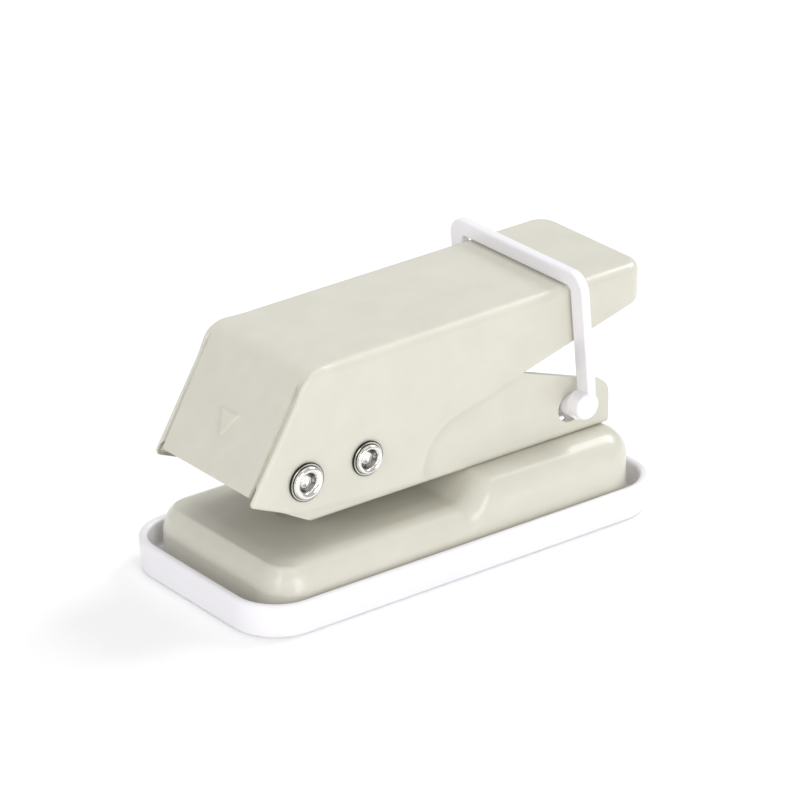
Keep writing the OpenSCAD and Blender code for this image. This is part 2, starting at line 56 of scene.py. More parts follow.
def gridQuads(rows, cols, wrap=False):
    # quads of a grid of points that are numbered row by row; wrap joins the last column to the first
    r = np.arange(rows - 1)[:, None]
    c = np.arange(cols if wrap else cols - 1)[None, :]
    n = (c + 1) % cols
    return np.stack([r * cols + c, r * cols + n, (r + 1) * cols + n, (r + 1) * cols + c], -1).reshape(-1, 4)


def weld(mesh, turnOut=False):
    # joins points that lie together, drops edges without a face, and may turn the faces outwards
    bm = bmesh.new()
    bm.from_mesh(mesh)
    bmesh.ops.remove_doubles(bm, verts=bm.verts, dist=weldGap)
    bmesh.ops.dissolve_degenerate(bm, edges=bm.edges, dist=thinEdge)
    bmesh.ops.delete(bm, geom=[e for e in bm.edges if not e.link_faces], context="EDGES")
    if turnOut:
        bmesh.ops.recalc_face_normals(bm, faces=bm.faces)
    bm.to_mesh(mesh)
    bm.free()


def makePiece(name, patches):
    # patches are (points, quads); their points are put end to end, and shared borders are welded
    points, faces, start = [], [], 0
    for p, q in patches:
        p = np.asarray(p, float).reshape(-1, 3)
        points.append(p)
        faces += (q + start).tolist() if isinstance(q, np.ndarray) else [[i + start for i in f] for f in q]
        start += len(p)
    mesh = bpy.data.meshes.new(name)
    mesh.from_pydata((np.concatenate(points) * mm).tolist(), [], faces)
    weld(mesh, True)
    obj = bpy.data.objects.new(name, mesh)
    bpy.context.scene.collection.objects.link(obj)
    return obj


def faceOut(obj, point, outward):
    # turns the whole skin round if the face nearest to a point doesn't look along "outward"
    mesh = obj.data
    centre = np.zeros(len(mesh.polygons) * 3)
    normal = np.zeros(len(mesh.polygons) * 3)
    mesh.polygons.foreach_get("center", centre)
    mesh.polygons.foreach_get("normal", normal)
    near = np.argmin(np.linalg.norm(centre.reshape(-1, 3) - np.array(point) * mm, axis=1))
    if normal.reshape(-1, 3)[near] @ np.array(outward) < 0:
        mesh.flip_normals()


def settle(obj):
    # makes the live modifiers part of the mesh
    graph = bpy.context.evaluated_depsgraph_get()
    done = obj.evaluated_get(graph)
    mesh = bpy.data.meshes.new_from_object(done, preserve_all_data_layers=True, depsgraph=graph)
    obj.modifiers.clear()
    obj.data = mesh


def soften(obj, angle=38, even=False):
    # smooth shading with sharp edges kept; "even" lets large flat faces rule the shading beside them
    mesh = obj.data
    mesh.polygons.foreach_set("use_smooth", np.ones(len(mesh.polygons), bool))
    mesh.set_sharp_from_angle(angle=rad(angle))
    if even:
        flat = obj.modifiers.new("flat", "WEIGHTED_NORMAL")
        flat.keep_sharp = True
        flat.weight = 60
        settle(obj)


def combine(obj, others, operation):
    # cuts other solids out of a piece, or joins them to it, and drops them
    for other in others:
        step = obj.modifiers.new("combine", "BOOLEAN")
        step.operation = operation
        step.solver = "EXACT"
        step.object = other
    settle(obj)
    for other in others:
        bpy.data.objects.remove(other)


def sheetMetal(obj, thickness, cutters, edge, steps=3, angle=50):
    # a skin becomes sheet: wall inwards, holes, then a small round on every cut edge
    wall = obj.modifiers.new("wall", "SOLIDIFY")
    wall.thickness = thickness * mm
    wall.offset = -1
    wall.use_even_offset = False
    wall.use_quality_normals = True
    settle(obj)
    combine(obj, cutters, "DIFFERENCE")
    if edge:
        lip = obj.modifiers.new("lip", "BEVEL")
        lip.width = edge * mm
        lip.segments = steps
        lip.limit_method = "ANGLE"
        lip.angle_limit = rad(angle)
        lip.use_clamp_overlap = True
        settle(obj)
    weld(obj.data)
    soften(obj, even=True)


def prism(outline, axis, low, high):
    # a closed bar: an outline in the other two axes, carried from low to high along the axis
    n = len(outline)
    order = {"Y": (0, 2, 1), "Z": (0, 1, 2)}[axis]
    ends = np.zeros((2, n, 3))
    ends[:, :, order[0]] = outline[:, 0]
    ends[:, :, order[1]] = outline[:, 1]
    ends[0, :, order[2]] = low
    ends[1, :, order[2]] = high
    caps = [list(range(n)), list(range(n, 2 * n))]
    return makePiece("cutter", [(ends, gridQuads(2, n, True).tolist() + caps)])


def circle(x, y, r, n=48):
    # points at equal turns round a centre
    a = np.linspace(0, 2 * np.pi, n, endpoint=False)
    return np.stack([x + r * np.cos(a), y + r * np.sin(a)], -1)


def roundedPath(corners, steps=10, closed=True):
    # each row is x, y, radius: a corner becomes an arc that touches both of its sides
    c = np.asarray(corners, float)
    parts = []
    for i, r in enumerate(c[:, 2]):
        p = c[i, :2]
        if r <= 0 or (not closed and i in (0, len(c) - 1)):
            parts.append(p[None])
            continue
        u = c[i - 1, :2] - p
        v = c[(i + 1) % len(c), :2] - p
        u, v = u / np.linalg.norm(u), v / np.linalg.norm(v)
        half = np.arccos(np.clip(u @ v, -1, 1)) / 2
        mid = p + (u + v) / np.linalg.norm(u + v) * r / np.sin(half)
        a = np.arctan2(*(p + u * r / np.tan(half) - mid)[::-1])
        b = np.arctan2(*(p + v * r / np.tan(half) - mid)[::-1])
        t = a + ((b - a + np.pi) % (2 * np.pi) - np.pi) * np.linspace(0, 1, steps)
        parts.append(mid + r * np.stack([np.cos(t), np.sin(t)], -1))
    return np.concatenate(parts)


def smoothCurve(points, each=6):
    # a curve through every point: each span is the cubic whose ends lean along the chord of their neighbours
    p = np.asarray(points, float)
    e = np.concatenate([2 * p[:1] - p[1:2], p, 2 * p[-1:] - p[-2:-1]])
    t = np.linspace(0, 1, each, endpoint=False)[None, :, None]
    a, b, c, d = (e[k: len(p) - 1 + k, None] for k in range(4))
    curve = 0.5 * (2 * b + (c - a) * t + (2 * a - 5 * b + 4 * c - d) * t ** 2 + (3 * b - a - 3 * c + d) * t ** 3)
    return np.concatenate([curve.reshape(-1, p.shape[1]), p[-1:]])


def ease(x, low, high):
    # 0 below low, 1 above high, with a soft start and end
    t = np.clip((x - low) / (high - low), 0, 1)
    return t * t * (3 - 2 * t)


def planRings(halfLong, halfWide, radius, arc, longs, wides):
    # rounded rectangles, one for each value of the arrays, with the same number of points on each
    turn = np.linspace(0, np.pi / 2, arc)
    sides = []
    for q, (sx, sy) in enumerate(((1, 1), (-1, 1), (-1, -1), (1, -1))):
        a = turn + q * np.pi / 2
        x = (sx * (halfLong - radius))[:, None] + radius[:, None] * np.cos(a)
        y = (sy * (halfWide - radius))[:, None] + radius[:, None] * np.sin(a)
        sides.append(np.stack([x, y], -1))
    rings = []
    for q in range(4):
        n = (longs, wides)[q % 2]
        t = (np.arange(1, n) / n)[None, :, None]
        rings += [sides[q], sides[q][:, -1:] * (1 - t) + sides[(q + 1) % 4][:, :1] * t]
    return np.concatenate(rings, 1)


def lathe(profile, centre, axis, turns=96, flip=1):
    # a profile of radius and height turned round the Z or Y axis through the centre; the profile is a closed loop
    a = np.linspace(0, 2 * np.pi, turns, endpoint=False)[None, :]
    r, h = profile[:, :1], profile[:, 1:] * flip + 0 * a
    p = {"Z": (r * np.cos(a), r * np.sin(a), h), "Y": (r * np.cos(a), h, r * np.sin(a))}[axis]
    p = np.stack(p, -1) + np.asarray(centre, float)
    loop = np.concatenate([p, p[:1]])
    return loop, gridQuads(len(loop), turns, True)


print("mesh tools ready")


# finishes

def socket(group, way, name, kind, value=None):
    # one way in or out of a node group
    s = group.interface.new_socket(name=name, in_out=way, socket_type=kind)
    if value is not None:
        s.default_value = value


def node(tree, kind, **settings):
    # a new node; each setting is a socket's value where it has such a socket, or else a property
    n = tree.nodes.new(kind)
    for key, value in settings.items():
        if key in n.inputs:
            n.inputs[key].default_value = value
        else:
            setattr(n, key, value)
    return n


def buildSpeckle():
    # two sizes of soft noise: a tone from 0 to 1 for colour and gloss, and a height for the bump
    g = bpy.data.node_groups.new("surfaceSpeckle", "ShaderNodeTree")
    socket(g, "INPUT", "Coarse", "NodeSocketFloat", 120.0)
    socket(g, "INPUT", "Fine", "NodeSocketFloat", 1500.0)
    socket(g, "OUTPUT", "Tone", "NodeSocketFloat")
    socket(g, "OUTPUT", "Height", "NodeSocketFloat")
    start, end = g.nodes.new("NodeGroupInput"), g.nodes.new("NodeGroupOutput")
    place = node(g, "ShaderNodeTexCoord")
    coarse = node(g, "ShaderNodeTexNoise", Detail=3.0, Roughness=0.55)
    fine = node(g, "ShaderNodeTexNoise", Detail=2.0, Roughness=0.5)
    for n, key in ((coarse, "Coarse"), (fine, "Fine")):
        g.links.new(place.outputs["Object"], n.inputs["Vector"])
        g.links.new(start.outputs[key], n.inputs["Scale"])
    tone = node(g, "ShaderNodeMapRange", clamp=True)
    tone.inputs["From Min"].default_value, tone.inputs["From Max"].default_value = 0.3, 0.7
    g.links.new(coarse.outputs["Fac"], tone.inputs["Value"])
    g.links.new(tone.outputs["Result"], end.inputs["Tone"])
    g.links.new(fine.outputs["Fac"], end.inputs["Height"])
    return g


def buildRub():
    # thin straight marks left by tools: noise drawn out along one way
    g = bpy.data.node_groups.new("toolMarks", "ShaderNodeTree")
    socket(g, "INPUT", "Stretch", "NodeSocketVector", (1.0, 1.0, 1.0))
    socket(g, "INPUT", "Scale", "NodeSocketFloat", 900.0)
    socket(g, "OUTPUT", "Marks", "NodeSocketFloat")
    start, end = g.nodes.new("NodeGroupInput"), g.nodes.new("NodeGroupOutput")
    place = node(g, "ShaderNodeTexCoord")
    draw = node(g, "ShaderNodeVectorMath", operation="MULTIPLY")
    marks = node(g, "ShaderNodeTexNoise", Detail=4.0, Roughness=0.6)
    g.links.new(place.outputs["Object"], draw.inputs[0])
    g.links.new(start.outputs["Stretch"], draw.inputs[1])
    g.links.new(draw.outputs["Vector"], marks.inputs["Vector"])
    g.links.new(start.outputs["Scale"], marks.inputs["Scale"])
    g.links.new(marks.outputs["Fac"], end.inputs["Marks"])
    return g


speckle, toolMarks = buildSpeckle(), buildRub()


def finish(name, light, dark, gloss, bump, coarse, fine, shader, stretch=None, paintedShade=None):
    # colour between light and dark by the speckle's tone, roughness between the two gloss values, and a fine bump;
    # the last colour is painted shade, laid on a piece's crevices where its "corner" attribute is 1
    mat = bpy.data.materials.new(name)
    mat.use_nodes = True
    t = mat.node_tree
    skin = t.nodes["Principled BSDF"]
    for key, value in shader.items():
        skin.inputs[key].default_value = value
    spot = node(t, "ShaderNodeGroup", node_tree=speckle)
    spot.inputs["Coarse"].default_value, spot.inputs["Fine"].default_value = coarse, fine
    tone, height = spot.outputs["Tone"], spot.outputs["Height"]
    if stretch:
        rub = node(t, "ShaderNodeGroup", node_tree=toolMarks)
        rub.inputs["Stretch"].default_value = stretch
        height = rub.outputs["Marks"]
        both = node(t, "ShaderNodeMath", operation="MULTIPLY")
        t.links.new(tone, both.inputs[0])
        t.links.new(height, both.inputs[1])
        tone = both.outputs[0]
    paint = node(t, "ShaderNodeMix", data_type="RGBA")
    paint.inputs[mixA].default_value, paint.inputs[mixB].default_value = (*dark, 1), (*light, 1)
    t.links.new(tone, paint.inputs["Factor"])
    colour = paint.outputs[mixOut]
    # painted shade: the "corner" attribute darkens crevices where shade falls
    if paintedShade:
        corner = node(t, "ShaderNodeAttribute", attribute_name="corner")
        shadeMix = node(t, "ShaderNodeMix", data_type="RGBA")
        shadeMix.inputs[mixB].default_value = (*paintedShade, 1)
        t.links.new(corner.outputs["Fac"], shadeMix.inputs["Factor"])
        t.links.new(colour, shadeMix.inputs[mixA])
        colour = shadeMix.outputs[mixOut]
    t.links.new(colour, skin.inputs["Base Color"])
    rough = node(t, "ShaderNodeMapRange")
    rough.inputs["To Min"].default_value, rough.inputs["To Max"].default_value = gloss
    t.links.new(tone, rough.inputs["Value"])
    t.links.new(rough.outputs["Result"], skin.inputs["Roughness"])
    relief = node(t, "ShaderNodeBump", Strength=bump[0], Distance=bump[1] * mm)
    t.links.new(height, relief.inputs["Height"])
    t.links.new(relief.outputs["Normal"], skin.inputs["Normal"])
    return mat


enamelLook = dict(light=(0.665, 0.65, 0.565), dark=(0.635, 0.62, 0.535), gloss=(0.34, 0.44), bump=(0.22, 0.05),
                  coarse=160.0, fine=1700.0,
                  shader={"Coat Weight": 0.5, "Coat Roughness": 0.14, "Specular IOR Level": 0.45})
plasticLook = dict(light=(0.865, 0.85, 0.88), dark=(0.845, 0.83, 0.865), gloss=(0.3, 0.36), bump=(0.06, 0.04),
                   coarse=60.0, fine=900.0,
                   shader={"Specular IOR Level": 0.5, "Coat Weight": 0.15, "Coat Roughness": 0.12})
# the nickel's dark last colour is painted shade for the rivets' crevices
nickelLook = dict(light=(0.88, 0.87, 0.84), dark=(0.80, 0.79, 0.76), gloss=(0.15, 0.18), bump=(0.008, 0.01),
                  coarse=500.0, fine=2600.0, shader={"Metallic": 1.0}, paintedShade=(0.035, 0.033, 0.024))
steelLook = dict(light=(0.60, 0.60, 0.60), dark=(0.38, 0.38, 0.39), gloss=(0.28, 0.46), bump=(0.15, 0.02),
                 coarse=300.0, fine=2200.0, shader={"Metallic": 1.0}, stretch=(1.0, 1.0, 0.08))
dullLook = dict(light=(0.62, 0.605, 0.53), dark=(0.55, 0.535, 0.46), gloss=(0.55, 0.7), bump=(0.15, 0.02),
                coarse=300.0, fine=2200.0, shader={"Metallic": 0.3})
creamEnamel = finish("creamEnamel", **enamelLook)
whitePlastic = finish("whitePlastic", **plasticLook)
brightNickel = finish("brightNickel", **nickelLook)
plainSteel = finish("plainSteel", **steelLook)
dullSteel = finish("dullSteel", **dullLook)
print("finishes ready")


def dress(obj, body, nodes, mat):
    # gives a piece its finish, the body it moves with and the CAD nodes it stands for
    obj.data.materials.clear()
    obj.data.materials.append(mat)
    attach(obj, body)
    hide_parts(*nodes)
    print("piece", obj.name, len(obj.data.polygons), "faces")


# chip tray

tray = dict(length=104, width=50, height=7.3, corner=10.8, wall=1.9, floor=1.6, draft=0.5,
            foot=0.9, rim=0.8, cove=1.1, steps=9, ringSteps=(14, 24, 10))


def makeTray():
    # a closed profile of inset and height, carried round a rounded rectangle; the two flats are one face each
    d = tray
    q = np.linspace(0, np.pi / 2, d["steps"])
    foot = np.stack([d["draft"] + d["foot"] * (1 - np.sin(q)), d["foot"] * (1 - np.cos(q))], -1)
    top = np.stack([d["rim"] * (1 - np.cos(q)), d["height"] - d["rim"] * (1 - np.sin(q))], -1)
    lip = np.stack([d["wall"] - d["rim"] * (1 - np.sin(q)), d["height"] - d["rim"] * (1 - np.cos(q))], -1)
    cove = np.stack([d["wall"] + d["cove"] * (1 - np.cos(q)), d["floor"] + d["cove"] * (1 - np.sin(q))], -1)
    profile = np.concatenate([foot, top, lip, cove])
    rings = planRings(d["length"] / 2 - profile[:, 0], d["width"] / 2 - profile[:, 0],
                      d["corner"] - profile[:, 0], *d["ringSteps"])
    n = rings.shape[1]
    points = np.concatenate([rings, np.repeat(profile[:, None, 1:], n, 1)], -1)
    flats = [list(range(n)), list(range((len(points) - 1) * n, len(points) * n))]
    obj = makePiece("chipTray", [(points, gridQuads(len(points), n, True).tolist() + flats)])
    soften(obj)
    dress(obj, "tray", ["chip_tray"], whitePlastic)


makeTray()


# pressed base

base = dict(halfLong=46.4, halfWide=22.5, corner=8, round=5.8, foot=1.7, table=13.2, deck=18.2,
            stepAt=0.5, stepRun=7.5, sheet=1.2, dieAt=-20.5, dieRound=5.42, rivetOut=7.9, rivetRound=1.93,
            # drop of the front edge: each place is inset, depth and radius
            frontWall=(0.1, 5.2, 2.0), frontBulge=(0.8, 2.9, 5.0), frontCrease=(2.4, 0.62, 0.8), frontTable=9.0,
            frontEnd=20, frontSteps=12, leastRound=1e-3,
            nearTurn=0.5, farTurn=1.0, cutLow=8, cutHigh=16, edgeSteps=33, flatSteps=30, wallSteps=7,
            ringSteps=(12, 130, 26))


def baseTop(x):
    # table height, half a cosine wave up the step, deck height
    t = np.clip((x - base["stepAt"]) / base["stepRun"], 0, 1)
    return base["table"] + (base["deck"] - base["table"]) * (0.5 - 0.5 * np.cos(np.pi * t))


def makeBase():
    # rings of growing inset: the height is the top line less the drop of the pressed edge; the drop is a quarter
    # circle along the sides and rear, and a straight steep face under a crease where the edge faces the front
    d = base
    q = np.linspace(0, np.pi / 2, d["edgeSteps"])
    flat = np.linspace(0, 1, d["flatSteps"])[1:] ** 2
    inset = np.concatenate([d["round"] * (1 - np.cos(q)),
                            d["round"] + (d["halfWide"] - d["round"] - axisGap) * flat])
    rings = planRings(d["halfLong"] - inset, d["halfWide"] - inset,
                      np.maximum(d["corner"] - inset, d["leastRound"]), *d["ringSteps"])
    core = np.array([d["halfLong"], d["halfWide"]]) - d["corner"]
    away = rings[0] - np.clip(rings[0], -core, core)
    turn = np.where(away[:, 1] > 0, d["farTurn"], d["nearTurn"])  # how soon each corner becomes front
    facing = ease(-away[:, 0] / np.linalg.norm(away, axis=1), 0, turn)
    left = np.clip(d["round"] - inset, 0, None)
    side = d["round"] - np.sqrt(d["round"] ** 2 - left ** 2)
    face = roundedPath([(0, d["round"], 0), d["frontWall"], d["frontBulge"], d["frontCrease"],
                        (d["round"], 0, d["frontTable"]), (d["frontEnd"], 0, 0)], d["frontSteps"], False)
    front = np.interp(inset, face[:, 0], face[:, 1])
    z = baseTop(rings[..., 0]) - side[:, None] * (1 - facing) - front[:, None] * facing
    t = np.linspace(0, 1, d["wallSteps"])[:-1, None]
    wall = np.concatenate([np.repeat(rings[:1], len(t), 0), (d["foot"] + (z[:1] - d["foot"]) * t)[..., None]], -1)
    points = np.concatenate([wall, np.concatenate([rings, z[..., None]], -1)])
    obj = makePiece("pressedBase", [(points, gridQuads(len(points), points.shape[1], True))])
    faceOut(obj, (-30, 0, d["table"]), (0, 0, 1))
    spots = [(0, d["dieRound"])] + [(side * d["rivetOut"], d["rivetRound"]) for side in (-1, 1)]
    holes = [prism(circle(d["dieAt"] + off, 0, r), "Z", d["cutLow"], d["cutHigh"]) for off, r in spots]
    sheetMetal(obj, d["sheet"], holes, 0)
    dress(obj, "machine", ["base_shell"], creamEnamel)


makeBase()


# frame channel

channel = dict(half=15.2, sheet=1.2, foot=18.2, top=37.0, front=-41.3, brow=(-35.5, 37.0), chest=28.4,
               toe=-32.3, toeSlope=28.5, fallAt=16.7, fall=18.8, rear=43.2, fold=1.5, edge=0.16,
               rearRound=4, headRound=2, toeRound=1,
               pivot=(-35.5, 28.4), pivotRound=2.26, drive=(-20.5, 29.2), slot=2.4, slotRound=2.5,
               bail=(33.0, 24.6), bailRound=3.2, guideRound=5.0, cutSide=20, cutWeb=(16, 21),
               longSteps=61, arcSteps=12, foldSteps=9, webSteps=13)


def makeChannel():
    # each cheek is one flat face inside a rounded outline; the folds are quarter rounds and the web is flat
    d = channel
    low = d["foot"] + d["fold"]
    slope = np.tan(rad(d["toeSlope"]))
    rise = d["foot"] + (d["toe"] - d["front"]) * slope
    rearTop = d["top"] - (d["rear"] - d["fallAt"]) * np.tan(rad(d["fall"]))
    toeLow = d["toe"] - d["fold"] / slope
    foot = np.linspace(toeLow, d["rear"], d["longSteps"])
    bend = d["headRound"]
    head = roundedPath([(d["rear"], low, 0), (d["rear"], rearTop, d["rearRound"]), (d["fallAt"], d["top"], bend),
                        (*d["brow"], bend), (d["front"], d["chest"], bend), (d["front"], rise, d["toeRound"]),
                        (toeLow, low, 0)], d["arcSteps"], False)
    outline = np.concatenate([np.stack([foot, 0 * foot + low], -1), head[1:-1]])
    patches = []
    for side in (-1, 1):
        cheek = np.stack([outline[:, 0], 0 * outline[:, 0] + side * d["half"], outline[:, 1]], -1)
        patches.append((cheek, [list(range(len(cheek)))]))
    # the folds and the web share one section: Y and Z along a quarter round, a flat, and a quarter round
    q = np.linspace(0, np.pi / 2, d["foldSteps"])
    arc = np.stack([d["half"] - d["fold"] * (1 - np.cos(q)), d["foot"] + d["fold"] * (1 - np.sin(q))], -1)
    flatY = np.linspace(arc[-1, 0], -arc[-1, 0], d["webSteps"])[1:-1]
    flat = np.stack([flatY, 0 * flatY + d["foot"]], -1)
    section = np.concatenate([arc, flat, (arc * (-1, 1))[::-1]])
    frontX = d["toe"] - (section[:, 1] - d["foot"]) / slope
    along = np.linspace(0, 1, d["longSteps"])[:, None]
    x = frontX[None] * (1 - along) + d["rear"] * along
    web = np.stack([x, np.broadcast_to(section[:, 0], x.shape), np.broadcast_to(section[:, 1], x.shape)], -1)
    patches.append((web, gridQuads(*x.shape)))
    obj = makePiece("frameChannel", patches)
    faceOut(obj, (10, -d["half"], 28), (0, -1, 0))
    r, (sx, sz) = d["slotRound"], d["drive"]
    upper, lower = circle(sx, sz, r), circle(sx, sz - d["slot"], r)
    half = len(upper) // 2
    slot = np.concatenate([upper[:half + 1], lower[half:]])
    through = (circle(*d["pivot"], d["pivotRound"]), slot, circle(*d["bail"], d["bailRound"]))
    holes = [prism(outline, "Y", -d["cutSide"], d["cutSide"]) for outline in through]
    holes.append(prism(circle(sx, 0, d["guideRound"]), "Z", *d["cutWeb"]))
    sheetMetal(obj, d["sheet"], holes, d["edge"])
    dress(obj, "machine", ["frame_channel"], creamEnamel)


makeChannel()


# lever

lever = dict(half=16.5, sheet=1.0, edge=2.0, lip=0.22, face=(-48.75, 26.3), slope=60.0, tilt=1.0, rise=22.75,
             bend=7.0, pivot=(-35.5, 28.4), drive=(-20.5, 29.2), bore=2.26, cutSide=20,
             chin=(-38.9, 22.2), chinStep=0.06, chinRound=1.0, heel=(-6.3, 20.2), heelRound=0.8, waist=11.0,
             underSlope=15.2, tail=51.8, tailDepth=7.3, tailRound=3.0, tailFrom=30, tailOver=6, corner=4.6,
             # the flap, and the slits that part it from the cheeks
             flapHalf=14.3, flapFoot=27.8, slitRun=2.0, slitBack=0.5, slitFade=0.25, slitEdge=0.65, edgeRun=4.0,
             # the cheeks' rolled front edge, and the flange behind the flap
             noseRound=1.0, roll=0.8, rollFull=5.0, rollEnd=0.55, rollStop=0.97,
             flange=2.1, flangeEnd=0.15, flangeFade=(4.0, 0.5), flangeCrowd=1.5,
             groove=0.8, grooveRun=0.7, grooveFrom=(-0.3, 2.6), leastDip=0.01,
             arrowAt=36.97, arrowWide=5.7, arrowTall=5.2, arrowHigh=0.42, arrowEdge=0.18)
leverGrid = dict(across=120, beside=5, flap=104, slit=10, bend=16, top=44, corner=13, round=10, wall=7,
                 frontEdge=60, nose=4, noseArc=10, belly=16, flange=15, tailArc=16, lowerArc=14)


def leverTop(x):
    # height of the top: a straight line that rises slightly along X
    return lever["pivot"][1] + lever["rise"] + (x - lever["pivot"][0]) * np.tan(rad(lever["tilt"]))


def leverUnder(x):
    # height of the handle's underside: a straight line up to the tail
    tailZ = leverTop(lever["tail"]) - lever["tailDepth"]
    return tailZ + (x - lever["tail"]) * np.tan(rad(lever["underSlope"]))


def arrowRelief(y, s):
    # height of the pressed arrow: full inside the triangle, easing to nothing over its edges
    w, h = lever["arrowWide"] / 2, lever["arrowTall"]
    side = (h * (w - np.abs(y)) - w * (h / 2 - s)) / np.hypot(h, w)
    inside = np.minimum(side, h / 2 - s)
    return lever["arrowHigh"] * ease(inside, -lever["arrowEdge"], lever["arrowEdge"])


def makeLever():
    # patches of one skin: the flap, the top, the rounds of its edges, the rear wall, and the cheeks with their
    # rolled fronts
    d, g = lever, leverGrid
    half, tilt, slope = d["half"], rad(d["tilt"]), rad(d["slope"])
    chin, heel = np.array(d["chin"]), np.array(d["heel"])
    flip = np.array([1, -1, 1])
    # side line of the face, the bend and the top
    cornerX = d["face"][0] + (leverTop(d["face"][0]) - d["face"][1]) / (np.tan(slope) - np.tan(tilt))
    cut = d["bend"] * np.tan((slope - tilt) / 2)
    bendStart = np.array([cornerX - cut * np.cos(slope), leverTop(cornerX) - cut * np.sin(slope)])
    bendLong = d["bend"] * (slope - tilt)
    bendMid = bendStart + d["bend"] * np.array([np.sin(slope), -np.cos(slope)])
    cornerStart = d["tail"] - d["corner"]
    topEnd = bendLong + (cornerStart - bendMid[0] + d["bend"] * np.sin(tilt)) / np.cos(tilt)
    flapLong = (bendStart[1] - d["flapFoot"]) / np.sin(slope)

    def spine(s):
        # point and outward normal at a length s from the start of the bend: before it the flap, after it the top
        a = slope - np.clip(s, 0, bendLong) / d["bend"]
        n = np.stack([-np.sin(a), np.cos(a)], -1)
        way = np.stack([np.cos(a), np.sin(a)], -1)
        rest = np.where(s < 0, s, np.maximum(s - bendLong, 0))
        return bendMid + d["bend"] * n + way * rest[:, None], n

    def edgeRound(line, wayIn, wayDown, radius):
        # quarter round from the wall to the top: inset r(1 - cos), depth r(1 - sin)
        q = np.linspace(0, np.pi / 2, g["round"])[:, None]
        inset, depth = radius * (1 - np.cos(q)), radius * (1 - np.sin(q))
        rows = line[None] + wayIn[None] * inset[..., None] + wayDown[None] * depth[..., None]
        level = wayDown[:, 2] < -0.9999
        rows[:, level, 2] += leverTop(rows[:, level, 0]) - leverTop(line[level, 0])
        return rows

    def sideLine(s):
        # corner line, way in and way down of the near long edge
        p, n = spine(s)
        n[s > bendLong - 1e-9] = (0, 1)
        zero = np.zeros(len(s))
        line = np.stack([p[:, 0], zero - half, p[:, 1]], -1)
        return line, np.stack([zero, zero + 1, zero], -1), np.stack([-n[:, 0], zero, -n[:, 1]], -1)

    # the long edges run from the top of the slits to the rear corners
    s = np.concatenate([np.linspace(d["slitRun"], bendLong, g["bend"])[:-1], np.linspace(bendLong, topEnd, g["top"])])
    r = d["slitEdge"] + (d["edge"] - d["slitEdge"]) * ease(s, d["slitRun"], bendLong + d["edgeRun"])
    nearLine, nearIn, nearDown = sideLine(s)
    # places across, from -1 to 1: the flap's own columns, and a few more at each side of it
    inner = d["flapHalf"] / (half - d["slitEdge"])
    margin = np.linspace(inner, 1, g["beside"])[1:]
    across = np.concatenate([-margin[::-1], np.linspace(-inner, inner, g["across"]), margin])
    # rear: a quarter turn, the straight end, a quarter turn
    a = np.linspace(0, np.pi / 2, g["corner"])[1:]
    cornerY = half - d["corner"]
    turnX, turnY = cornerStart + d["corner"] * np.sin(a), -(cornerY + d["corner"] * np.cos(a))
    rearY = cornerY * across[1:-1]
    endX = np.concatenate([turnX, np.full(len(rearY), d["tail"]), turnX[::-1]])
    endY = np.concatenate([turnY, rearY, -turnY[::-1]])
    endLine = np.stack([endX, endY, leverTop(endX)], -1)
    turnIn = np.stack([-np.sin(a), np.cos(a), 0 * a], -1)
    endIn = np.concatenate([turnIn, np.tile((-1.0, 0, 0), (len(rearY), 1)), (turnIn * flip)[::-1]])
    endDown = np.tile((0.0, 0, -1), (len(endX), 1))
    strip = edgeRound(np.concatenate([nearLine, endLine, nearLine[::-1] * flip]),
                      np.concatenate([nearIn, endIn, nearIn[::-1] * flip]),
                      np.concatenate([nearDown, endDown, nearDown[::-1]]),
                      np.concatenate([r, np.full(len(endX), d["edge"]), r[::-1]]))
    # rear wall, ruled from the edge down to the underside line
    tailZ = leverUnder(d["tail"])
    tailLine = roundedPath([(d["tailFrom"], leverUnder(d["tailFrom"]), 0), (d["tail"], tailZ, d["tailRound"]),
                            (d["tail"], tailZ + d["tailOver"], 0)], g["tailArc"], False)[:-1]
    m = len(s)
    rim = strip[0, m - 1: m + len(endX) + 1]
    foot = np.stack([rim[:, 0], rim[:, 1], np.interp(rim[:, 0], tailLine[:, 0], tailLine[:, 1])], -1)
    t = np.linspace(0, 1, g["wall"])[:, None, None]
    wall = rim[None] * (1 - t) + foot[None] * t
    # front edge of the cheek: it leaves the face a little below the bend, meets it again at the nose,
    # turns round the nose and runs on to the chin
    fall = (bendStart[1] - d["face"][1]) / np.sin(slope)
    noseAt, footAt = d["slitRun"] + fall, d["slitRun"] + flapLong
    edgeS = np.linspace(d["slitRun"], -fall, g["frontEdge"])
    edgeAt, edgeOut = spine(edgeS)
    slitGone = d["slitRun"] - edgeS
    setBack = d["slitBack"] * (1 - slitGone / noseAt) * ease(slitGone, 0, d["slitFade"] * noseAt)
    line = edgeAt - edgeOut * setBack[:, None]
    nose = roundedPath([(*line[-g["nose"]], 0), (*d["face"], d["noseRound"]), (*chin, 0)], g["noseArc"], False)[:-1]
    belly = nose[-1] + (chin - nose[-1]) * np.linspace(0, d["rollStop"], g["belly"])[1:, None]
    edge = np.concatenate([line[:-g["nose"]], nose, belly])
    way = np.gradient(edge, axis=0)
    way /= np.linalg.norm(way, axis=1)[:, None]
    inward = np.stack([-way[:, 1], way[:, 0]], -1)
    inward[0] = -edgeOut[0]
